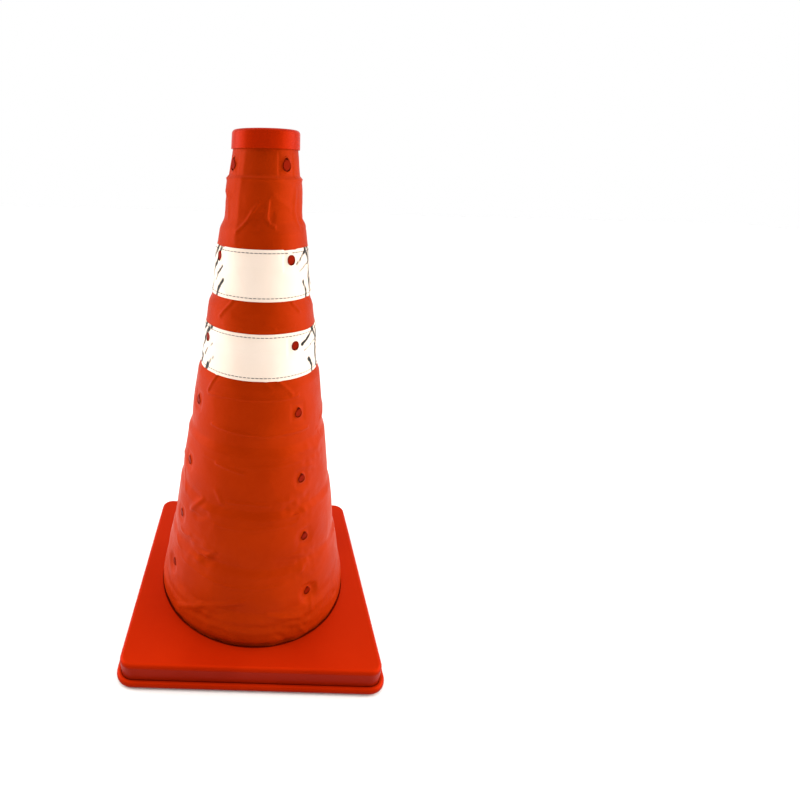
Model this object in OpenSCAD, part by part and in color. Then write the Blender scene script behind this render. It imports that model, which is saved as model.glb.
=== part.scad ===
// Collapsible traffic cone, 450 mm tall: a square base, seven telescoping
// tapered rings that nest inside each other, and a fabric sleeve over them.
// Millimetres. +Z up, origin at the middle of the base's underside, front on -Y.

/* [Base] */
// Width of the square base over its lip
base_w = 250; // [220:1:280]
// Corner radius of the lip
base_corner = 17; // [12:1:24]
// Height of the base's flat top
base_h = 26; // [24:1:32]
// Rounding of the base's upper edge
base_edge = 4; // [3:0.5:6]
// Wall thickness of the base shell
shell_wall = 2.5; // [2:0.1:3]

/* [Telescoping rings] */
// Height of each ring's rim above the next rim down
pitch = 57; // [50:1:60]
// How far each ring reaches down inside the next one
overlap = 6; // [5:0.5:8]
// Widening of the rings per millimetre of height
taper = 0.13; // [0.12:0.005:0.13]
// Wall thickness of the rings
ring_wall = 1.4; // [1.2:0.1:1.4]
// Radius over the cloth at the top ring's rim
top_skin_r = 22.9; // [22.8:0.1:23.2]
// Growth of that radius from each ring to the next one down
skin_step = 10.05; // [10:0.05:10.4]

/* [Sleeve and bands] */
// Thickness of the sleeve cloth
cloth = 0.5; // [0.4:0.05:0.5]
// Thickness of the reflective tape
tape = 0.5; // [0.3:0.05:0.6]
// Width of each reflective band
band_w = 36.5; // [30:0.5:37]
// Depth of the upper band's top edge below its ring's rim
upper_band_drop = 11.5; // [11:0.5:15]
// Depth of the lower band's top edge below its ring's rim
lower_band_drop = 14.5; // [11:0.5:15]
// Diameter of the holes that the pegs stand in
peg_hole_d = 9; // [8.5:0.1:10]

/* [Pegs and cap] */
// Diameter of the pegs that hold the sleeve
peg_d = 7; // [6:0.1:8]
// How far the pegs stand out past the cloth
peg_proud = 0.9; // [0.5:0.1:1.5]
// Outer radius of the top cap
cap_r = 25; // [24.8:0.1:27]
// Height of the top cap
cap_h = 12; // [11.5:0.5:14]
// Radius of the hole through the top cap
cap_hole_r = 12.5; // [10:0.1:13]
// Length of the hole's neck
cap_neck = 10; // [8:0.5:10.5]

/* [Hidden] */
RINGS = 7;

$fn = 96;
orange = [0.90, 0.16, 0.03];
cloth_orange = [0.84, 0.18, 0.05];
silver = [0.88, 0.88, 0.85];
rubber = [0.08, 0.08, 0.08];
steel = [0.65, 0.66, 0.68];

fit = 0.3;                                  // gap between sliding neighbours
rim_gap = 0.4;                              // gap between a rim and the cloth inside it
skim = 0.02;                                // gap between the cloth and what it lies on
band_gap = 0.12;                            // gap between a band and the cloth under it
half = base_w / 2;                          // half width over the lip
corner_at = half - base_corner;             // centre of every base corner
lip_r = 3.4;                                // roundness of the tray's lip
lip_z = 0.8;                                // underside of the tray
floor_top = 3;                              // upper face of the tray's floor
groove = 0.5;                               // gap between shell wall and lip
shell_half = half - lip_r - 1.2;            // half width over the shell's wall
collar_top = base_h + 16.5;                 // rim of the fixed collar
cap_lap = 4;                                // how far the cap covers ring 1
ring_h = pitch + overlap;

// Direction of each peg round the axis, from the front towards +X
PEG_ANGLES = [36, 116, 216, 296];
// Depth of each ring's pegs below its rim, from the top ring down
PEG_DEPTHS = [14, 19, 25, 23, 25, 25, 27];

// Rim height of ring k; k = RINGS + 1 is the fixed collar
function rim_z(k) = collar_top + pitch * (RINGS + 1 - k);
// Radius over the cloth of ring k at a depth below its rim
function skin_r(k, depth) = top_skin_r + skin_step * (k - 1) + taper * depth;
function wall_r(k, depth) = skin_r(k, depth) - cloth;
function inner_r(k, depth) = wall_r(k, depth) - ring_wall;
function peg_depth(k) = PEG_DEPTHS[k - 1];
// Radius of the opening in ring k's rim, just wider than the ring above it
function rim_in(k) = skin_r(k - 1, pitch) + rim_gap;
// Radius of ring k's flared foot, which is wider than the rim that it hangs from
function foot_r(k) = inner_r(k + 1, foot_flare) - fit;

// --- Shapes that repeat -------------------------------------------------

// Square plate with true round corners, h wide each side of the middle
module round_square(h) {
    square([2 * h, 2 * corner_at], center = true);
    square([2 * corner_at, 2 * h], center = true);
    for (x = [-1, 1], y = [-1, 1])
        translate([x * corner_at, y * corner_at])
            circle(r = h - corner_at);
}

// Round bar of radius r that follows the base's outline at half width h
module outline_bar(h, r) {
    for (side = [0:3])
        rotate(90 * side) {
            translate([-corner_at, h, 0])
                rotate([0, 90, 0])
                    cylinder(r = r, h = 2 * corner_at);
            translate([corner_at, corner_at, 0])
                rotate_extrude(angle = 90)
                    translate([h - corner_at, 0])
                        circle(r = r);
        }
}

// Places its children at the four corners of a square
module at_corners(d) {
    for (x = [-1, 1], y = [-1, 1])
        translate([x * d, y * d, 0])
            children();
}

// Turns its children's -Y side to each peg's direction
module at_pegs() {
    for (a = PEG_ANGLES)
        rotate(a)
            children();
}

// Cylinder that lies along -Y, from radius r1 to radius r2, at height z
module radial_rod(d, r1, r2, z) {
    translate([0, -r1, z])
        rotate([90, 0, 0])
            cylinder(d = d, h = r2 - r1);
}

// Tapered cloth tube outside ring k, between two depths below the rim
module skin_tube(k, from, to, inside, outside) {
    rotate_extrude()
        polygon([
            [skin_r(k, from) + inside, rim_z(k) - from],
            [skin_r(k, from) + outside, rim_z(k) - from],
            [skin_r(k, to) + outside, rim_z(k) - to],
            [skin_r(k, to) + inside, rim_z(k) - to]
        ]);
}

// --- Base ----------------------------------------------------------------

tray_screw_at = 84;         // corner screws, from the middle along X and Y
boss_d = 9;
cup_top = 6;                // top of the tray's screw cups
collar_screw_r = 104.5;     // circle of the screws that clamp the collar
collar_screws_n = 8;
collar_boss_d = 7;
flange_r = 110;             // outer radius of the collar's flange
flange_top = base_h - shell_wall - cloth;
flange_t = 2;
shell_gap = 3.2;            // gap round the sleeve in the shell's opening
shell_open_r = skin_r(RINGS + 1, collar_top - base_h) + shell_gap;

module at_collar_screws() {
    for (i = [0:collar_screws_n - 1])
        rotate(360 / collar_screws_n * (i + 0.5))
            translate([collar_screw_r, 0, 0])
                children();
}

module base_shell() {
    color(orange)
    difference() {
        union() {
            difference() {
                union() {
                    translate([0, 0, floor_top + 0.2])
                        linear_extrude(base_h - base_edge - floor_top - 0.2)
                            round_square(shell_half);
                    translate([0, 0, floor_top + 0.2])
                        linear_extrude(base_h - floor_top - 0.2)
                            round_square(shell_half - base_edge);
                    translate([0, 0, base_h - base_edge])
                        outline_bar(shell_half - base_edge, base_edge);
                }
                linear_extrude(base_h - base_edge)
                    round_square(shell_half - shell_wall);
                linear_extrude(base_h - shell_wall)
                    round_square(shell_half - base_edge - shell_wall);
            }
            // screw bosses for the tray and for the collar
            translate([0, 0, cup_top + 0.2])
                at_corners(tray_screw_at)
                    cylinder(d = boss_d, h = base_h - shell_wall - cup_top);
            translate([0, 0, flange_top - flange_t + 0.1])
                at_collar_screws()
                    cylinder(d = collar_boss_d, h = flange_t + cloth + 0.5);
        }
        cylinder(r = shell_open_r, h = base_h + 1);
        at_corners(tray_screw_at)
            cylinder(d = 2.8, h = 19);
        at_collar_screws()
            cylinder(d = 2.4, h = base_h - 1.2);
    }
}

module base_tray() {
    color(orange)
    difference() {
        union() {
            translate([0, 0, lip_z])
                linear_extrude(floor_top - lip_z)
                    round_square(half - lip_r);
            difference() {
                translate([0, 0, lip_z + lip_r])
                    outline_bar(half - lip_r, lip_r);
                translate([0, 0, floor_top])
                    linear_extrude(2 * lip_r + 2)
                        round_square(shell_half + groove);
                linear_extrude(floor_top + 0.5)
                    round_square(half - lip_r - 1);
            }
            at_corners(tray_screw_at)
                translate([0, 0, lip_z])
                    cylinder(d = 12, h = cup_top - lip_z);
        }
        at_corners(tray_screw_at) {
            cylinder(d = 7.6, h = 4);
            cylinder(d = 3.6, h = cup_top + 1);
        }
        at_corners(pad_at)
            cylinder(d = pad_d + 0.4, h = pad_t);
    }
}

module base_collar() {
    k = RINGS + 1;
    depth = collar_top - flange_top;
    color(orange)
    difference() {
        rotate_extrude()
            polygon([
                [rim_in(k), collar_top],
                [wall_r(k, 0), collar_top],
                [wall_r(k, depth), flange_top],
                [flange_r, flange_top],
                [flange_r, flange_top - flange_t],
                [inner_r(k, depth + flange_t), flange_top - flange_t],
                [inner_r(k, 2 * bead_h), collar_top - 2 * bead_h],
                [rim_in(k), collar_top - bead_h]
            ]);
        at_collar_screws()
            cylinder(d = collar_boss_d + 0.4, h = base_h);
    }
}

module collar_screws() {
    head_z = flange_top - flange_t;
    color(steel)
    at_collar_screws()
        difference() {
            union() {
                translate([0, 0, head_z - 1.6])
                    cylinder(d = 10, h = 1.5);
                translate([0, 0, head_z - 1])
                    cylinder(d = 2.2, h = 4.5);
            }
            screw_recess(head_z - 1.6, 0.9);
        }
}

module tray_screws() {
    color(steel)
    at_corners(tray_screw_at)
        difference() {
            union() {
                translate([0, 0, 1.8])
                    cylinder(d = 7, h = 2.1);
                translate([0, 0, 3])
                    cylinder(d = 2.6, h = 14);
            }
            screw_recess(1.8, 1.2);
        }
}

// Cross recess in a screw head whose face is at z, seen from below
module screw_recess(z, deep) {
    translate([0, 0, z + deep / 2])
        for (a = [0, 90])
            rotate(a)
                cube([3.6, 0.9, deep + 0.01], center = true);
}

pad_d = 20;
pad_t = 1.6;
pad_at = 106;

module foot_pads() {
    color(rubber)
    at_corners(pad_at)
        difference() {
            cylinder(d = pad_d, h = pad_t);
            for (r = [3.5, 6.5])
                difference() {
                    cylinder(r = r + 0.6, h = 0.5);
                    cylinder(r = r - 0.6, h = 0.5);
                }
        }
}

// --- Rings ----------------------------------------------------------------

bead_h = 2;         // height of the bead inside a ring's rim
neck_below = 2.5;   // where a ring's foot starts to flare, below the next rim
foot_flare = 4.6;   // where the flare ends, below the next rim

module ring(k) {
    peg_z = rim_z(k) - peg_depth(k);
    peg_r = skin_r(k, peg_depth(k));
    color(orange)
    difference() {
        union() {
            rotate_extrude()
                polygon([
                    [rim_in(k), rim_z(k)],
                    [wall_r(k, 0), rim_z(k)],
                    [wall_r(k, pitch + neck_below), rim_z(k + 1) - neck_below],
                    [foot_r(k), rim_z(k + 1) - foot_flare],
                    [foot_r(k), rim_z(k) - ring_h],
                    [foot_r(k) - ring_wall, rim_z(k) - ring_h],
                    [foot_r(k) - ring_wall, rim_z(k + 1) - foot_flare],
                    [inner_r(k, pitch + neck_below), rim_z(k + 1) - neck_below],
                    [inner_r(k, 2 * bead_h), rim_z(k) - 2 * bead_h],
                    [rim_in(k), rim_z(k) - bead_h]
                ]);
            at_pegs() {
                radial_rod(peg_d, peg_r - cloth - 0.8, peg_r + peg_proud - 0.5, peg_z);
                radial_rod(peg_d - 1, peg_r - cloth - 0.8, peg_r + peg_proud, peg_z);
            }
        }
        // each peg is hollow from inside, as a moulding is
        at_pegs()
            radial_rod(peg_d - 3.4, peg_r - 6, peg_r - 0.9, peg_z);
    }
}

// --- Sleeve ----------------------------------------------------------------

module peg_holes(k) {
    at_pegs()
        radial_rod(peg_hole_d, skin_r(k, 0) - 8, skin_r(k, 0) + 14,
                   rim_z(k) - peg_depth(k));
}

// Outline of the cloth's turn over the rim of ring k, from outside to inside
function turn_outline(k) = [
    [skin_r(k, 0), rim_z(k) + cloth],
    [rim_in(k), rim_z(k) + cloth],
    [rim_in(k), rim_z(k) + skim],
    [wall_r(k, 0) + skim, rim_z(k) + skim]
];

// Cloth of ring k, from the turn over its rim down to just above the next rim
module sleeve(k) {
    low = pitch - cloth - 0.3;
    color(cloth_orange)
    difference() {
        if (k == 1)
            skin_tube(k, cap_lap - 1, low, skim - cloth, 0);
        else
            rotate_extrude()
                polygon(concat(turn_outline(k), [
                    [wall_r(k, low) + skim, rim_z(k) - low],
                    [skin_r(k, low), rim_z(k) - low]
                ]));
        peg_holes(k);
    }
}

// Skirt round the collar, with the hem that the collar's flange clamps
module sleeve_hem() {
    k = RINGS + 1;
    hem_z = flange_top + skim;
    hem_top = flange_top + cloth - skim;
    hem_r = flange_r - 2;
    color(cloth_orange)
    difference() {
        rotate_extrude()
            polygon(concat(turn_outline(k), [
                [wall_r(k, collar_top - hem_z) + skim, hem_z],
                [hem_r, hem_z],
                [hem_r, hem_top],
                [skin_r(k, collar_top - hem_top), hem_top]
            ]));
        at_collar_screws()
            cylinder(d = collar_boss_d + 0.6, h = base_h);
    }
}

// Reflective tape round ring k, over the sleeve, from a depth below the rim
module band(k, drop) {
    color(silver)
    difference() {
        skin_tube(k, drop, drop + band_w, band_gap, tape);
        peg_holes(k);
    }
}

// --- Cap ---------------------------------------------------------------------

module top_cap() {
    top = rim_z(1) + cap_h - cap_lap;
    foot = top - cap_h;
    draft = 0.5;
    edge = 2.5;
    edge_r = cap_r - draft - edge;
    color(orange)
    difference() {
        rotate_extrude()
            polygon(concat(
                [[cap_hole_r, top], [cap_hole_r, foot], [cap_r, foot]],
                [for (a = [0:10:90])
                    [edge_r + edge * cos(a), top - edge + edge * sin(a)]]
            ));
        // ring 1's rim stands in here, round the neck of the hole
        difference() {
            translate([0, 0, foot - 1])
                cylinder(r = skin_r(1, cap_lap) + 0.1, h = cap_lap + 1.1);
            translate([0, 0, top - cap_neck])
                cylinder(r = cap_hole_r + 2, h = cap_neck);
        }
    }
}

// --- Model -------------------------------------------------------------------

base_shell();
base_tray();
base_collar();
collar_screws();
tray_screws();
foot_pads();
sleeve_hem();
for (k = [1:RINGS]) {
    ring(k);
    sleeve(k);
}
band(2, upper_band_drop);  // upper_band
band(3, lower_band_drop);  // lower_band
top_cap();
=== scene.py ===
"""Looks for the collapsible traffic cone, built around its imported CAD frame.

Metres, +Z up, front on -Y. Directions round the cone's axis are in degrees
from the front towards +X.
"""

import math

import bpy
import numpy as np
from mathutils import Matrix, Vector


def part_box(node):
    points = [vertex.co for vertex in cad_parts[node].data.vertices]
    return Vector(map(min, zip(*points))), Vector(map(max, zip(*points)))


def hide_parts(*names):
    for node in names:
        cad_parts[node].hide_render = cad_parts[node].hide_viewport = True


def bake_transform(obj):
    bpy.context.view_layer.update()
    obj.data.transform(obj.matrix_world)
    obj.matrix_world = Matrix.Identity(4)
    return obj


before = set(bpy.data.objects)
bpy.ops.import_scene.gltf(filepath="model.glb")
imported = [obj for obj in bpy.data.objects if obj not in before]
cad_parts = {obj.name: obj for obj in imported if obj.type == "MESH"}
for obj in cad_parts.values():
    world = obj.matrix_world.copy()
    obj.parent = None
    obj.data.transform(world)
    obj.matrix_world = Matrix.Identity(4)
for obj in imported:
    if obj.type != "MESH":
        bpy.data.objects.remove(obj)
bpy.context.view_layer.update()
MM = 0.001
RINGS = 7

# --- Sizes that the frame doesn't state ----------------------------------

PEG_AZIMUTHS = (36, 116, 216, 296)
PEG_DEPTHS = (14, 19, 25, 23, 25, 25, 27)  # mm below each ring's rim
TAPER = 0.13  # widening of the rings per height
CLOTH = 0.5 * MM
COLUMNS = 360  # mesh columns round the cone, so that pegs fall on columns
ROW = 1.1 * MM  # mesh rows of the cloth
JOIN_DROP = 10.5 * MM  # cloth pieces meet this far below a rim
HEM_SINK = 1.2 * MM  # how far the hem reaches into the base's opening

STEP_TOP = 8.5  # mm above a rim, where the cloth has come in to the ring inside
STEP_SWAY = 1.2  # mm that this height wanders by
STEP_LIP = 1.2 * MM  # how far below the rim the cloth starts to come in
SLACK = 0.25  # mm between a ring and the cloth at its rim
BULGE = {1: 0.5, 2: 0.8, 3: 0.7, 4: 0.9, 5: 1.0, 6: 1.1, 7: 2.7}  # mm, mid-ring
SKIN_GAP = 0.05 * MM  # least gap between the rings' skin and the cloth
SOFT_GAP = 0.12 * MM  # how softly the cloth comes to that gap

SKIRT_OUT = 3.1  # mm that the skirt stands out round the collar
SKIRT_IN = 1.5  # mm that it comes back in at the base
HEM_Z = 420.6 * MM  # lower edge of the stiff collar under the cap
HEM_STEP = 1.1 * MM  # the cloth below that edge stands out by this much
HEM_RIDGE = 0.75 * MM
CALM_Z = 434 * MM  # no wrinkles above this, under the cap
SEAM_AZIMUTH = 100
SEAM_HALF_W = 4 * MM
SEAM_RISE = 0.4 * MM

HOLE_HALF_W = 3.9 * MM
HOLE_HALF_H = 4.2 * MM
HOLE_TIP = 1.0 * MM  # the holes in the cloth are pointed at the top
HOLE_REACH = 1.85  # how far a hole distorts the grid, in hole sizes
DIMPLE_REACH = 13 * MM  # how far the pegs pull the cloth in
DIMPLE_EASE = 9 * MM
DIMPLE_LIFT = 0.45 * MM  # of the cloth at a peg over the ring's skin

FILM_LIFT = 0.50  # mm, of the reflective film over the cloth
FILM_THICKNESS = 0.35 * MM
STITCH_IN = 2.5 * MM  # from the band's edge
STITCH_PITCH = 3.3 * MM
STITCH_SHAPE = [(-1.3, 0.3), (-1.1, 0.8), (0, 1), (1.1, 0.8), (1.3, 0.3)]  # mm, share
STITCH_SIDES = 6
STITCH_CLEAR = 1.492 * MM  # least distance of a stitch from a peg's middle
THREAD_R = 0.27 * MM
THREAD_LIFT = 0.05 * MM

# --- The frame's own sizes -------------------------------------------------

RIM = {k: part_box(f"ring_{k}")[1].z for k in range(1, RINGS + 1)}
RIM[RINGS + 1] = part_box("base_collar")[1].z
SLEEVE = {k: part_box(f"sleeve_{k}") for k in range(1, RINGS + 1)}
BASE_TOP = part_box("base_shell")[1].z
BODY = {k: f"tier_{k}" for k in range(1, RINGS + 1)}
BODY[RINGS + 1] = "base"
PEG_Z = {k: RIM[k] - PEG_DEPTHS[k - 1] * MM for k in SLEEVE}


def skin(k, z):
    """Radius over the cloth of ring k at height z; the collar follows ring 7."""
    low, high = SLEEVE[min(k, RINGS)]
    if k > RINGS:
        step = SLEEVE[RINGS][1].x - SLEEVE[RINGS - 1][1].x
        return high.x + step - TAPER * (z - (RIM[k] - (RIM[RINGS] - RIM[k])))
    return high.x - TAPER * (z - low.z)


# --- Shape of the cloth ----------------------------------------------------


def smooth(t):
    t = np.clip(t, 0, 1)
    return t * t * (3 - 2 * t)


def wrap(degrees):
    return (degrees + 180) % 360 - 180


def ripple(az, z, seed, count, shortest, longest):
    """Sum of smooth waves in space, with wavelengths in mm, about -1 to 1."""
    rng = np.random.default_rng(seed)
    r = 23 * MM + 0.2 * (RIM[1] - z)
    x, y = r * np.sin(np.radians(az)), -r * np.cos(np.radians(az))
    total = np.zeros(np.broadcast(az, z).shape)
    for _ in range(count):
        way = rng.normal(size=3)
        way *= 2 * math.pi / (rng.uniform(shortest, longest) * MM * np.linalg.norm(way))
        phase = rng.uniform(0, 2 * math.pi)
        total += np.cos(way[0] * x + way[1] * y + way[2] * z + phase)
    return total / math.sqrt(count)


def crease(az, z, r, points, width, height):
    """Ridge along a line of (azimuth, millimetres up) points; negative is a valley."""
    nearest = np.full(np.broadcast(az, z).shape, 1.0)
    for (a0, z0), (a1, z1) in zip(points, points[1:]):
        u = np.radians(wrap(az - a0)) * r
        v = z - z0 * MM
        du = math.radians(wrap(a1 - a0)) * r
        dv = (z1 - z0) * MM
        t = np.clip((u * du + v * dv) / (du * du + dv * dv + 1e-9), 0, 1)
        nearest = np.minimum(nearest, np.hypot(u - t * du, v - t * dv))
    return height * MM * np.exp(-((nearest / (width * MM)) ** 2))


# Folds that the pulled-up sleeve keeps: height, width, then (azimuth, mm up)
CREASES = [
    (0.3, 2.4, ((-36, 434), (-36, 421), (-39, 408), (-39, 396), (-37, 378))),
    (0.8, 1.1, ((-8, 403), (-16, 398), (-24, 391), (-36, 384))),
    (0.9, 1.0, ((6, 405), (4, 394), (8, 390), (15, 388))),
    (-0.7, 2.6, ((-4, 397), (-10, 388))),
    (-0.5, 2.0, ((12, 397), (11, 392))),
    (0.45, 2.2, ((12, 408), (40, 400))),
    (0.5, 1.6, ((52, 412), (48, 398), (56, 388))),
    (0.5, 1.5, ((-66, 408), (-60, 392))),
    (0.9, 1.2, ((-33, 335), (-46, 323))),
    (0.7, 1.2, ((36, 335), (44, 328))),
    (-0.4, 2.6, ((-26, 326), (-14, 324))),
    (0.4, 1.2, ((4, 321), (14, 317))),
    (0.3, 1.6, ((-40, 318), (0, 315), (36, 318))),
    (0.9, 1.3, ((-42, 276), (-49, 262))),
    (0.5, 1.5, ((6, 276), (12, 269))),
    (0.6, 1.6, ((18, 276), (30, 265))),
    (0.8, 1.2, ((-48, 260), (-20, 262), (20, 262), (36, 263))),
    (0.95, 1.2, ((-40, 235), (-12, 233), (12, 232), (46, 232))),
    (0.3, 1.4, ((-44, 206), (-6, 204), (34, 206))),
    (0.95, 1.2, ((-31, 203), (-22, 202), (-9, 199))),
    (0.6, 1.2, ((-20, 170), (-3, 171), (10, 169))),
    (0.8, 2.2, ((-51, 147), (-41, 163))),
    (-0.9, 3.2, ((-44, 144), (-36, 152))),
    (0.8, 2.4, ((-29, 177), (-25, 168))),
    (0.35, 1.8, ((17, 172), (28, 171), (38, 156))),
    (-0.7, 3.0, ((22, 163), (30, 156))),
    (0.3, 1.4, ((-50, 148), (-20, 146), (30, 149))),
    (0.8, 2.0, ((-39, 108), (-31, 112), (-26, 118))),
    (-0.8, 3.4, ((-33, 103), (-24, 108))),
    (0.4, 2.0, ((24, 117), (33, 117), (37, 106), (30, 97))),
    (0.35, 1.6, ((-54, 91), (-10, 88), (20, 90))),
    (0.8, 2.6, ((-48, 41), (-31, 59), (-6, 75))),
    (-0.8, 4.0, ((-30, 48), (-12, 62))),
    (0.7, 2.4, ((9, 62), (30, 49))),
    (0.6, 1.8, ((38, 64), (37, 53))),
    (0.7, 1.8, ((27, 45), (33, 28))),
    (-0.6, 2.4, ((14, 40), (20, 30))),
    (0.5, 1.8, ((-14, 44), (-10, 30))),
]


def more_creases():
    """Folds for the sides and back, of the kinds on the front."""
    rng = np.random.default_rng(71)
    found = []
    for k in range(1, RINGS + 1):
        r = skin(k, RIM[k + 1]) / MM
        for _ in range(5 + k):
            a = rng.uniform(58, 302)
            z = RIM[k] / MM - rng.uniform(22, 56)
            length = rng.uniform(7, 20)
            tilt = rng.uniform(-1.1, 1.1)
            a2 = a + math.degrees(length * math.cos(tilt) / r)
            z2 = z + length * math.sin(tilt)
            bend = (a + a2) / 2 + rng.uniform(-3, 3)
            height = rng.uniform(0.45, 0.85) * rng.choice((1, 1, -1))
            width = rng.uniform(1.4, 2.8)
            points = ((a, z), (bend, (z + z2) / 2 + rng.uniform(-3, 3)), (a2, z2))
            found.append((height, width, points))
    return found


ALL_CREASES = CREASES + more_creases()

# Crumpled patches: azimuth, mm up, reach in degrees and in mm
CRUMPLES = [
    (33, 163, 15, 15),
    (-40, 152, 15, 14),
    (35, 106, 14, 16),
    (-34, 108, 15, 14),
    (24, 46, 14, 14),
    (-26, 50, 18, 14),
    (48, 205, 12, 14),
    (118, 152, 15, 14),
    (172, 103, 15, 14),
    (222, 160, 15, 14),
    (262, 108, 15, 14),
]


def drape(az, z):
    """Radii of the hanging cloth and of the skin that it mustn't go below."""
    r = np.zeros(z.shape)
    wall = np.zeros(z.shape)
    sway = ripple(az, z, 5, 5, 60, 110)
    for k in range(1, RINGS + 1):
        here = z <= (RIM[k] if k > 1 else 1)
        depth = np.clip((RIM[k] - z) / (RIM[k] - RIM[k + 1]), 0, 1)
        inner, outer = skin(k, z), skin(k + 1, z)
        rise = RIM[k + 1] + (STEP_TOP + STEP_SWAY * sway) * MM
        t = smooth((rise - z) / (rise - RIM[k + 1] + STEP_LIP))
        belly = (SLACK + np.sin(math.pi * depth**1.25) * BULGE[k]) * MM
        uneven = 1 + 0.3 * ripple(az, z, 20 + k, 4, 60, 140)
        r = np.where(here, inner + (outer - inner) * t + belly * uneven, r)
        wall = np.where(here, inner, wall)
    return r, np.where(z <= RIM[8], skin(8, z), wall)


def skirt(az, z):
    """How far the skirt stands out at the foot, with nicks along its hem."""
    foot = smooth((RIM[8] - z + 22 * MM) / (14 * MM))
    tuck = smooth((BASE_TOP + 9 * MM - z) / (12 * MM))
    uneven = 1 + 0.1 * ripple(az, z, 9, 4, 60, 140)
    nicks = 0.5 * ripple(az, z, 41, 9, 9, 26) - 0.9 - 0.5 * np.cos(np.radians(az))
    edge = smooth((BASE_TOP + 6 * MM - z) / (6 * MM))
    return foot * (SKIRT_OUT - SKIRT_IN * tuck) * MM * uneven + nicks * MM * edge


def top_hem(z):
    """The ledge and ridge at the lower edge of the stiff collar under the cap."""
    loose = smooth((z - 396 * MM) / (18 * MM))
    ledge = HEM_STEP * smooth((HEM_Z - z) / (1.4 * MM)) * loose
    return ledge + HEM_RIDGE * np.exp(-(((HEM_Z - 1.8 * MM - z) / (1.1 * MM)) ** 2))


def cloth_radius(az, z):
    """Outer radius of the sleeve at an azimuth in degrees and a height."""
    az, z = np.broadcast_arrays(az, z)
    r, wall = drape(az, z)
    r = r + skirt(az, z) + top_hem(z)
    calm = smooth((CALM_Z - z) / (10 * MM))
    sharp = 1 - 2 * np.abs(ripple(az, z, 33, 6, 34, 80))
    soft = ripple(az, z, 37, 9, 24, 60)
    r = r + calm * MM * (0.16 * sharp + 0.20 * soft)
    for height, width, points in ALL_CREASES:
        r = r + crease(az, z, r, points, width, height)
    crumple = 0.42 * ripple(az, z, 77, 12, 7, 18)
    for a0, z0, reach_a, reach_z in CRUMPLES:
        far = (wrap(az - a0) / reach_a) ** 2 + ((z - z0 * MM) / (reach_z * MM)) ** 2
        r = r + crumple * MM * np.exp(-far)
    seam = np.radians(wrap(az - SEAM_AZIMUTH)) * r / SEAM_HALF_W
    r = r + SEAM_RISE * np.exp(-(seam**6)) * calm
    for k, peg_z in PEG_Z.items():
        for azimuth in PEG_AZIMUTHS:
            away = np.hypot(np.radians(wrap(az - azimuth)) * r, z - peg_z)
            held = smooth((DIMPLE_REACH - away) / DIMPLE_EASE) * (z < RIM[k])
            r = r + held * (skin(k, z) + DIMPLE_LIFT - r)
    spare = r - wall - SKIN_GAP
    return wall + SKIN_GAP + (spare + np.hypot(spare, SOFT_GAP)) / 2


# --- Meshes ------------------------------------------------------------------


def at(az, r, z):
    """Points from azimuths in degrees, radii and heights."""
    a = np.radians(az)
    return np.stack([r * np.sin(a), -r * np.cos(a), z + 0 * a], axis=-1)


def make(name, points, faces, uv=None):
    """Smooth-shaded mesh object."""
    mesh = bpy.data.meshes.new(name)
    mesh.from_pydata([tuple(p) for p in points], [], faces)
    mesh.polygons.foreach_set("use_smooth", [True] * len(mesh.polygons))
    if uv is not None:
        layer = mesh.uv_layers.new(name="Weave")
        loops = np.zeros(len(mesh.loops), int)
        mesh.loops.foreach_get("vertex_index", loops)
        layer.data.foreach_set("uv", uv[loops].astype(np.float32).ravel())
    mesh.update()
    obj = bpy.data.objects.new(name, mesh)
    bpy.context.scene.collection.objects.link(obj)
    return obj


def sharpen_rims(mesh):
    """Marks a mesh's open edges sharp, so that they don't shade into its faces."""
    used = np.zeros(len(mesh.edges), int)
    edges = np.zeros(len(mesh.loops), int)
    mesh.loops.foreach_get("edge_index", edges)
    np.add.at(used, edges, 1)
    mark = mesh.attributes.new("sharp_edge", "BOOLEAN", "EDGE")
    mark.data.foreach_set("value", used < 2)


def heights(z_low, z_high, through):
    """Rows from z_low to z_high, with one at the height of through."""
    stops = [z_low, through, z_high]
    rows = [z_low]
    for a, b in zip(stops, stops[1:]):
        count = max(1, round((b - a) / ROW))
        rows += [a + (b - a) * (i + 1) / count for i in range(count)]
    return np.array(rows)


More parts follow.
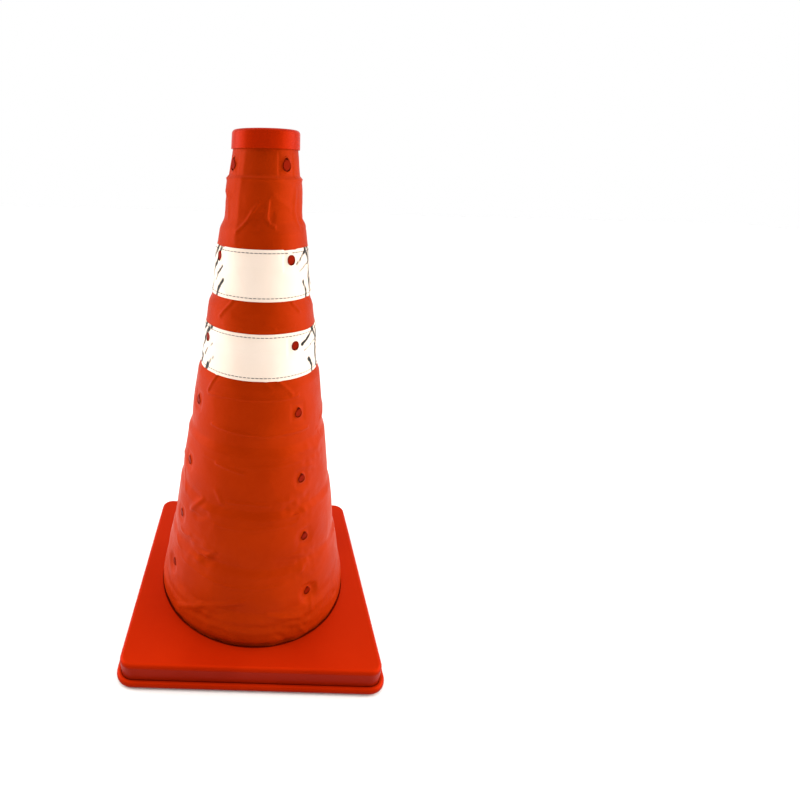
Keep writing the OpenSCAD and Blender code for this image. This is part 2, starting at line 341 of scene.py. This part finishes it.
def peg_holes(az, z, rows, peg_z, half_h, tip_h):
    """Opens a rounded hole in the grid round each of a ring's pegs. Returns the new
    azimuths and heights, how near each point is to a hole's edge, and the cells
    that stay."""
    near = np.full(az.shape, 9.0)
    keep = np.ones((az.shape[0] - 1, az.shape[1] - 1), bool)
    new_az, new_z = az.copy(), z.copy()
    middle = (az[:-1, :-1] + az[1:, 1:]) / 2, (z[:-1, :-1] + z[1:, 1:]) / 2
    r = float(np.mean(cloth_radius(np.arange(0, 360, 9.0), peg_z + 0.0)))
    column = math.radians(360 / COLUMNS) * r
    block_w = column * max(2, round(HOLE_HALF_W / column))
    j = int(np.argmin(abs(rows - peg_z)))
    n = max(2, round(half_h / ROW))
    up, down = rows[j + n] - peg_z, peg_z - rows[j - n]

    def local(azimuth, a, h):
        """Distances from a peg, along and up the cloth, plain and in hole sizes."""
        u = np.radians(wrap(a - azimuth)) * r
        v = h - peg_z
        return u, v, u / block_w, v / np.where(v > 0, up, down)

    for azimuth in PEG_AZIMUTHS:
        u, v, x, y = local(azimuth, az, z)
        size = np.maximum(abs(x), abs(y))
        theta = np.arctan2(y, x)
        above = np.clip(np.sin(theta), 0, 1)
        out_u = HOLE_HALF_W * np.cos(theta) * (1 - 0.25 * above * (tip_h > 0))
        out_v = half_h * np.sin(theta) + tip_h * above**6
        s = np.clip((size - 1) / (HOLE_REACH - 1), 0, 1)
        inside = size <= HOLE_REACH
        u2 = (1 - s) * out_u + s * u
        v2 = (1 - s) * out_v + s * v
        new_az = np.where(inside, azimuth + np.degrees(u2 / r), new_az)
        new_z = np.where(inside, peg_z + v2, new_z)
        near = np.minimum(near, np.where(inside, size - 1, 9))
        x, y = local(azimuth, *middle)[2:]
        keep &= np.maximum(abs(x), abs(y)) > 1
    return new_az, new_z, near, keep


def cloth_tube(name, rows, radius, peg_z, half_h, tip_h, lip):
    """Single-layer tube of cloth with holes for the pegs."""
    columns = np.arange(COLUMNS + 1) * 360.0 / COLUMNS
    az, z = np.meshgrid(columns, rows)
    new_az, new_z, near, keep = peg_holes(az, z, rows, peg_z, half_h, tip_h)
    r = radius(new_az, new_z)
    r = r + lip * np.exp(-((np.maximum(near, 0) / 0.22) ** 2))
    r = r - 0.35 * MM * np.exp(-(((near - 0.75) / 0.35) ** 2)) * (near < 5)
    points = at(new_az, r, new_z)[:, :-1].reshape(-1, 3)
    uv = np.stack([np.radians(new_az) * 60 * MM, new_z], axis=-1)[:, :-1].reshape(-1, 2)
    faces = []
    for j, i in zip(*np.nonzero(keep)):
        a, b = j * COLUMNS + i, j * COLUMNS + (i + 1) % COLUMNS
        faces.append((a, b, b + COLUMNS, a + COLUMNS))
    used = np.unique(np.array(faces))
    order = np.zeros(len(points), int)
    order[used] = np.arange(len(used))
    faces = [tuple(int(order[v]) for v in f) for f in faces]
    obj = make(name, points[used], faces, uv[used])
    sharpen_rims(obj.data)
    return obj


def thicken(obj, thickness):
    solid = obj.modifiers.new("Thickness", "SOLIDIFY")
    solid.thickness = thickness
    solid.offset = -1
    solid.use_rim = True


def fold(obj):
    """Bakes a piece's transform into its mesh."""
    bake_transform(obj)


# --- Materials -----------------------------------------------------------------


class Surface:
    """A Principled material with short ways to add nodes to it."""

    def __init__(self, name, **sockets):
        self.material = bpy.data.materials.new(name)
        self.material.use_nodes = True
        self.tree = self.material.node_tree
        self.shader = self.tree.nodes["Principled BSDF"]
        for key, value in sockets.items():
            self.shader.inputs[key.replace("_", " ")].default_value = value
        self.height = None

    def add(self, kind, settings=(), **inputs):
        node = self.tree.nodes.new("ShaderNode" + kind)
        for key, value in dict(settings).items():
            setattr(node, key, value)
        for key, value in inputs.items():
            self.put(node.inputs[key.replace("_", " ")], value)
        return node

    def put(self, socket, value):
        if isinstance(value, bpy.types.NodeSocket):
            self.tree.links.new(value, socket)
        else:
            socket.default_value = value

    def noise(self, scale, detail=3, where=None):
        where = where or self.add("TexCoord").outputs["Object"]
        return self.add("TexNoise", Vector=where, Scale=scale, Detail=detail).outputs["Fac"]

    def ramp(self, value, low, high, to_low, to_high):
        node = self.add("MapRange", Value=value)
        for i, number in enumerate((low, high, to_low, to_high)):
            node.inputs[i + 1].default_value = number
        return node.outputs["Result"]

    def mix(self, factor, a, b):
        node = self.add("Mix", {"data_type": "RGBA"})
        self.put(node.inputs[0], factor)
        self.put(node.inputs[6], a)
        self.put(node.inputs[7], b)
        return node.outputs[2]

    def bump(self, value, strength, distance):
        node = self.add("Bump", Height=value, Strength=strength, Distance=distance)
        if self.height is not None:
            self.tree.links.new(self.height, node.inputs["Normal"])
        self.height = node.outputs["Normal"]
        self.tree.links.new(self.height, self.shader.inputs["Normal"])

    def colour(self, value):
        self.put(self.shader.inputs["Base Color"], value)

    def rough(self, value):
        self.put(self.shader.inputs["Roughness"], value)


def moulded(name, dark, light, rough, ior, metal, side=1.0):
    """Satin moulded plastic with a fine grain and faint handling marks. Walls that
    stand upright get painted shade: their colour is multiplied by side."""
    s = Surface(name, IOR=ior, Metallic=metal, Specular_Tint=(1.0, 0.16, 0.06, 1))
    tone = s.mix(s.ramp(s.noise(14, 4), 0.35, 0.65, 0, 1), dark, light)
    if side < 1:
        # painted shade: upright walls are darkened by the factor side
        normal_for_wall_shade = s.add("SeparateXYZ", Vector=s.add("NewGeometry").outputs["Normal"])
        flat = s.ramp(normal_for_wall_shade.outputs["Z"], 0.1, 0.7, 0, 1)
        tone = s.mix(flat, s.mix(side, (0, 0, 0, 1), tone), tone)
    s.colour(tone)
    s.rough(s.ramp(s.noise(35, 5), 0.3, 0.7, rough - 0.05, rough + 0.09))
    s.bump(s.noise(1400, 2), 0.10, 0.00012)
    s.bump(s.noise(90, 2), 0.10, 0.0004)
    return s.material


def woven(name, dark, light, rough):
    """Coated plain-weave cloth."""
    s = Surface(name, IOR=1.13, Metallic=0.13, Specular_Tint=(1.0, 0.18, 0.07, 1))
    s.colour(s.mix(s.ramp(s.noise(30, 5), 0.3, 0.7, 0, 1), dark, light))
    s.rough(s.ramp(s.noise(60, 4), 0.3, 0.7, rough - 0.06, rough + 0.08))
    uv = s.add("UVMap", {"uv_map": "Weave"}).outputs["UV"]
    threads = []
    for direction in ("X", "Y"):
        wave = s.add(
            "TexWave",
            {"wave_type": "BANDS", "bands_direction": direction},
            Vector=uv,
            Scale=520.0,
            Distortion=0.6,
        )
        threads.append(wave.outputs["Fac"])
    weave = s.add("Math", {"operation": "MULTIPLY"})
    s.put(weave.inputs[0], threads[0])
    s.put(weave.inputs[1], threads[1])
    s.bump(weave.outputs[0], 0.25, 0.00012)
    s.bump(s.noise(170, 4), 0.35, 0.0006)
    s.bump(s.noise(60, 3), 0.35, 0.0012)
    return s.material


def film(name):
    """Silver-white reflective film, with painted shade and painted dark reflection in the folds
    that a vertex attribute marks.
    """
    s = Surface(name, IOR=1.22)
    painted_fold_shade = s.add("Attribute", {"attribute_name": "FoldShade"}).outputs["Fac"]
    ragged = s.add("Math", {"operation": "MULTIPLY"})
    s.put(ragged.inputs[0], painted_fold_shade)
    streaks = s.add("Mapping", Vector=s.add("TexCoord").outputs["Object"], Scale=(1, 1, 0.3))
    s.put(ragged.inputs[1], s.ramp(s.noise(420, 4, streaks.outputs[0]), 0.35, 0.65, 0.62, 1.3))
    dark = s.ramp(ragged.outputs[0], 0.28, 0.72, 0, 1)
    unshaded_film = s.mix(
        s.ramp(s.noise(26, 3), 0.3, 0.7, 0, 1),
        (0.92, 0.745, 0.62, 1),
        (0.95, 0.80, 0.69, 1),
    )
    # painted shade and painted dark reflection: the film goes near-black in its folds
    s.colour(s.mix(dark, unshaded_film, (0.006, 0.007, 0.009, 1)))
    s.rough(s.ramp(s.noise(80, 3), 0.3, 0.7, 0.36, 0.5))
    s.bump(s.noise(240, 3), 0.2, 0.0003)
    s.bump(s.noise(1800, 2), 0.08, 0.0001)
    return s.material


PLASTIC = moulded(
    "Moulded orange", (0.39, 0.014, 0.0004, 1), (0.43, 0.017, 0.0008, 1), 0.24, 1.14, 0.1
)
# The base's upright walls get painted shade: their colour is 0.66 of the base colour.
BASE_PLASTIC = moulded(
    "Base orange", (0.40, 0.014, 0.0004, 1), (0.44, 0.017, 0.0008, 1), 0.36, 1.14, 0.2, 0.66
)
# The rings, pegs and collar are the same orange plastic painted about half as dark: painted
# shade for the pegs deep in their cloth holes.
SHADED_RING_PLASTIC = moulded(
    "Ring orange painted shade", (0.19, 0.006, 0.0005, 1), (0.24, 0.009, 0.001, 1), 0.45, 1.1, 0.1
)
FABRIC = woven("Sleeve cloth", (0.36, 0.022, 0.0004, 1), (0.41, 0.027, 0.0008, 1), 0.42)
FILM = film("Reflective film")
THREAD = woven("Grey thread", (0.05, 0.05, 0.055, 1), (0.10, 0.10, 0.11, 1), 0.6)


def steel():
    s = Surface("Plated steel", Metallic=1.0)
    s.colour(s.mix(s.noise(400, 3), (0.50, 0.51, 0.53, 1), (0.66, 0.66, 0.67, 1)))
    s.rough(s.ramp(s.noise(600, 3), 0.3, 0.7, 0.22, 0.4))
    s.bump(s.noise(2200, 2), 0.1, 0.00008)
    return s.material


def rubber():
    s = Surface("Black rubber")
    s.colour(s.mix(s.noise(300, 4), (0.018, 0.018, 0.02, 1), (0.035, 0.034, 0.033, 1)))
    s.rough(s.ramp(s.noise(200, 3), 0.3, 0.7, 0.62, 0.8))
    s.bump(s.noise(1500, 3), 0.3, 0.0002)
    return s.material


NODE_MATERIALS = {
    "base_shell": BASE_PLASTIC,
    "base_tray": BASE_PLASTIC,
    "base_collar": SHADED_RING_PLASTIC,
    "top_cap": PLASTIC,
    "collar_screws": steel(),
    "foot_pads": rubber(),
}
NODE_MATERIALS["tray_screws"] = NODE_MATERIALS["collar_screws"]
for k in range(1, RINGS + 1):
    NODE_MATERIALS[f"ring_{k}"] = SHADED_RING_PLASTIC
for name, material in NODE_MATERIALS.items():
    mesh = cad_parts[name].data
    mesh.materials.clear()
    mesh.materials.append(material)

# --- The sleeve ------------------------------------------------------------------


def frustum_cut(z_low, z_high):
    """Flat width, length and area of the cloth between two heights."""
    r_low = float(np.mean(cloth_radius(np.arange(0, 360, 5.0), z_low + 0.0)))
    r_high = float(np.mean(cloth_radius(np.arange(0, 360, 5.0), z_high + 0.0)))
    slant = math.hypot(r_low - r_high, z_high - z_low)
    return (2 * math.pi * r_low, slant), math.pi * (r_low + r_high) * slant


for k in range(1, RINGS + 1):
    z_low = RIM[k + 1] - JOIN_DROP
    z_high = RIM[k] - JOIN_DROP
    covers = [f"sleeve_{k}"]
    if k == 1:
        z_high = SLEEVE[1][1].z
    if k == RINGS:
        z_low = BASE_TOP - HEM_SINK
        covers.append("sleeve_hem")
    piece = cloth_tube(
        f"sleeve_cloth_{k}",
        heights(z_low, z_high, PEG_Z[k]),
        cloth_radius,
        PEG_Z[k],
        HOLE_HALF_H,
        HOLE_TIP,
        (0.1 if k in (2, 3) else 0.4) * MM,  # flatter under the bands
    )
    piece.data.materials.append(FABRIC)
    thicken(piece, 0.9 * CLOTH)
    fold(piece)
    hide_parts(*covers)
    flat, area = frustum_cut(z_low, z_high)

# --- The reflective bands ------------------------------------------------------------


# Sharp folds in the film: depth, width in mm, then (azimuth, share of the height)
# The film is also painted near-black along these folds: painted shade and painted dark
# reflection.
FILM_FOLDS = [
    (1.0, 2.5, ((-58, 1.0), (-68, 0.80), (-76, 0.45), (-73, 0.25), (-80, 0.0))),
    (0.8, 1.1, ((-63, 1.0), (-73, 0.66), (-79, 0.36), (-77, 0.1))),
    (1.0, 1.8, ((-50, 0.34), (-57, 0.16), (-60, 0.0))),
    (0.9, 1.2, ((-54, 0.62), (-63, 0.44), (-66, 0.30))),
    (1.0, 2.1, ((-70, 1.0), (-84, 0.72), (-82, 0.4), (-89, 0.0))),
    (0.7, 1.0, ((-82, 0.9), (-90, 0.5), (-94, 0.35))),
    (0.9, 1.4, ((45, 0.70), (57, 0.86), (70, 1.0))),
    (0.8, 1.1, ((49, 0.56), (61, 0.66), (78, 0.72))),
    (1.0, 2.5, ((64, 1.0), (74, 0.72), (70, 0.40), (77, 0.0))),
    (0.8, 1.1, ((68, 0.6), (78, 0.42), (74, 0.1))),
    (1.0, 1.7, ((55, 0.34), (61, 0.14), (61, 0.0))),
    (1.0, 2.1, ((74, 1.0), (84, 0.6), (81, 0.35), (87, 0.0))),
    (0.7, 1.0, ((82, 0.85), (90, 0.55), (95, 0.45))),
]


def more_folds():
    rng = np.random.default_rng(19)
    found = []
    for middle in (124, 158, 188, 226, 258):
        for _ in range(2):
            a = middle + rng.uniform(-9, 9)
            t = rng.uniform(0.0, 0.5)
            rise = rng.uniform(0.25, 0.5)
            lean = rng.uniform(-9, 9)
            line = ((a, t), (a + lean * 0.8, t + rise * 0.5), (a + lean, t + rise))
            found.append((rng.uniform(0.42, 0.55), rng.uniform(0.9, 1.4), line))
    return found


FILM_FOLDS += more_folds()


def film_fold_mask(az, z, low, high):
    """1 in the middle of the film's folds, 0 away from them."""
    fold_mask = np.zeros(np.broadcast(az, z).shape)
    r = 40 * MM
    tall = (high - low) / MM
    for depth, width, line in FILM_FOLDS:
        points = [(a, low / MM + t * tall) for a, t in line]
        fold_mask = np.maximum(fold_mask, crease(az, z, r, points, width, depth) / MM)
    return fold_mask * np.clip(0.92 + 0.22 * ripple(az, z, 61, 6, 9, 24), 0, 1.15)


def band_surface(low, high):
    """Outer radius of the band between two heights."""

    def radius(az, z):
        crinkle = 0.05 * ripple(az, z, 51, 8, 9, 30)
        middle = (z - (low + 0.62 * (high - low))) / (0.7 * MM)
        line = 0.18 * np.exp(-(middle**2))
        pressed = 0.35 * film_fold_mask(az, z, low, high)
        return cloth_radius(az, z) + (FILM_LIFT + crinkle + line - pressed) * MM

    return radius


def stitching(name, rows_z, radius, broken):
    """Rows of stitches round the cone, each a short fat thread. A row in broken has
    none at the pegs."""
    points, faces = [], []
    sides = STITCH_SIDES
    turns = [2 * math.pi * j / sides for j in range(sides)]
    for z in rows_z:
        r_mean = float(np.mean(radius(np.arange(0, 360, 6.0), z + 0.0)))
        count = round(2 * math.pi * r_mean / STITCH_PITCH)
        steps = np.degrees([along * MM / r_mean for along, _ in STITCH_SHAPE])
        for az in [360 * (i + 0.5) / count for i in range(count)]:
            off = math.radians(min(abs(wrap(az - a)) for a in PEG_AZIMUTHS)) * r_mean
            if z in broken and off < STITCH_CLEAR:
                continue
            start = len(points)
            radii = radius(az + steps, np.full(len(steps), z))
            for a, r, (_, share) in zip(az + steps, radii, STITCH_SHAPE):
                for turn in turns:
                    dr = THREAD_R * share * math.cos(turn)
                    dz = THREAD_R * share * math.sin(turn)
                    points.append(at(a, r + dr + THREAD_LIFT, z + dz))
            for q in range(len(STITCH_SHAPE) - 1):
                for j in range(sides):
                    b = start + q * sides + j
                    c = start + q * sides + (j + 1) % sides
                    faces.append((b, c, c + sides, b + sides))
            faces.append(tuple(range(start + sides - 1, start - 1, -1)))
            last = start + (len(STITCH_SHAPE) - 1) * sides
            faces.append(tuple(range(last, last + sides)))
    uv = np.array([(p[0], p[2]) for p in points])
    return make(name, points, faces, uv)


for node, k in (("upper_band", 2), ("lower_band", 3)):
    low, high = (corner.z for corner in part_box(node))
    radius = band_surface(low, high)
    piece = cloth_tube(
        f"{node}_tape",
        heights(low, high, PEG_Z[k]),
        radius,
        PEG_Z[k],
        HOLE_HALF_W,
        0.0,
        0.3 * MM,
    )
    co = np.array([v.co for v in piece.data.vertices])
    az = np.degrees(np.arctan2(co[:, 0], -co[:, 1]))
    # The fold mask is kept on the tape for the film's painted shade in its folds.
    fold_mask = piece.data.attributes.new("FoldShade", "FLOAT", "POINT")
    fold_mask.data.foreach_set("value", film_fold_mask(az, co[:, 2], low, high).astype(np.float32))
    piece.data.materials.append(FILM)
    thicken(piece, FILM_THICKNESS)
    fold(piece)
    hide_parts(node)
    rows = [low + STITCH_IN, high - STITCH_IN]
    broken = rows[1:] if node == "upper_band" else []
    thread = stitching(f"{node}_stitching", rows, radius, broken)
    thread.data.materials.append(THREAD)
    fold(thread)
    flat, area = frustum_cut(low, high)

# --- Camera, light and floor -----------------------------------------------------------

LENS = 21.006
SHIFT = (0.1877, 0.0143)
CAMERA_PLACE = (-0.00455, -0.3878, 0.42165)
YAW, PITCH, ROLL = -0.0060, 0.4706, 0.02376
SUN_SPREAD = 70
FLOOR_HALF = 6


def camera_turn():
    """Rotation of the camera from its yaw, downward pitch and roll."""
    level = math.cos(PITCH)
    ahead = (math.sin(YAW) * level, math.cos(YAW) * level, -math.sin(PITCH))
    forward = Vector(ahead)
    right = Vector((math.cos(YAW), -math.sin(YAW), 0))
    up = right.cross(forward)
    turned = math.cos(ROLL) * right + math.sin(ROLL) * up
    upright = math.cos(ROLL) * up - math.sin(ROLL) * right
    return Matrix((turned, upright, -forward)).transposed().to_4x4()


camera_data = bpy.data.cameras.new("Camera")
camera_data.sensor_fit = "HORIZONTAL"
camera_data.sensor_width = 36
camera_data.lens = LENS
camera_data.shift_x, camera_data.shift_y = SHIFT
camera = bpy.data.objects.new("Camera", camera_data)
bpy.context.scene.collection.objects.link(camera)
camera.matrix_world = Matrix.Translation(CAMERA_PLACE) @ camera_turn()
bpy.context.scene.camera = camera


def softbox(name, place, target, size, power, tint):
    """Large soft light that the camera doesn't see."""
    data = bpy.data.lights.new(name, "AREA")
    data.shape = "RECTANGLE"
    data.size, data.size_y = size
    data.energy = power
    data.color = tint
    light = bpy.data.objects.new(name, data)
    light.location = place
    aim = Vector(target) - Vector(place)
    light.rotation_euler = aim.to_track_quat("-Z", "Y").to_euler()
    light.visible_camera = False
    bpy.context.scene.collection.objects.link(light)


WARM = (1.0, 0.96, 0.87)
softbox("Left panel", (-1.05, 0.12, 0.55), (0, 0, 0.30), (0.8, 1.1), 12, WARM)
softbox("Right panel", (1.02, -0.16, 0.55), (0, 0, 0.30), (0.95, 1.1), 13, WARM)
sun = bpy.data.lights.new("Overhead", "SUN")
sun.energy = 1.2
sun.angle = math.radians(SUN_SPREAD)
overhead = bpy.data.objects.new("Overhead", sun)
bpy.context.scene.collection.objects.link(overhead)


def studio():
    """A white backdrop. It lights the cone less from the side that the front faces."""
    world = bpy.data.worlds.new("Studio")
    world.use_nodes = True
    nodes, links = world.node_tree.nodes, world.node_tree.links
    direction = nodes.new("ShaderNodeTexCoord")
    split = nodes.new("ShaderNodeSeparateXYZ")
    fade = nodes.new("ShaderNodeMapRange")
    for i, number in enumerate((-0.6, 0.2, 0.28, 1.0)):
        fade.inputs[i + 1].default_value = number
    links.new(direction.outputs["Generated"], split.inputs[0])
    links.new(split.outputs["Y"], fade.inputs[0])
    seen = nodes.new("ShaderNodeMath")
    seen.operation = "MAXIMUM"
    links.new(nodes.new("ShaderNodeLightPath").outputs["Is Camera Ray"], seen.inputs[0])
    links.new(fade.outputs[0], seen.inputs[1])
    links.new(seen.outputs[0], nodes["Background"].inputs["Strength"])
    nodes["Background"].inputs["Color"].default_value = (1, 1, 1, 1)
    return world


bpy.context.scene.world = studio()
bpy.context.scene.view_settings.view_transform = "Standard"

floor_s = Surface("Pale floor", Roughness=0.6)
floor_s.colour(floor_s.mix(floor_s.noise(6, 2), (0.90, 0.90, 0.90, 1), (0.94, 0.94, 0.94, 1)))
corners = [(-1, -1), (1, -1), (1, 1), (-1, 1)]
floor = make("floor", [(x * FLOOR_HALF, y * FLOOR_HALF, 0) for x, y in corners], [(0, 1, 2, 3)])
floor.data.materials.append(floor_s.material)
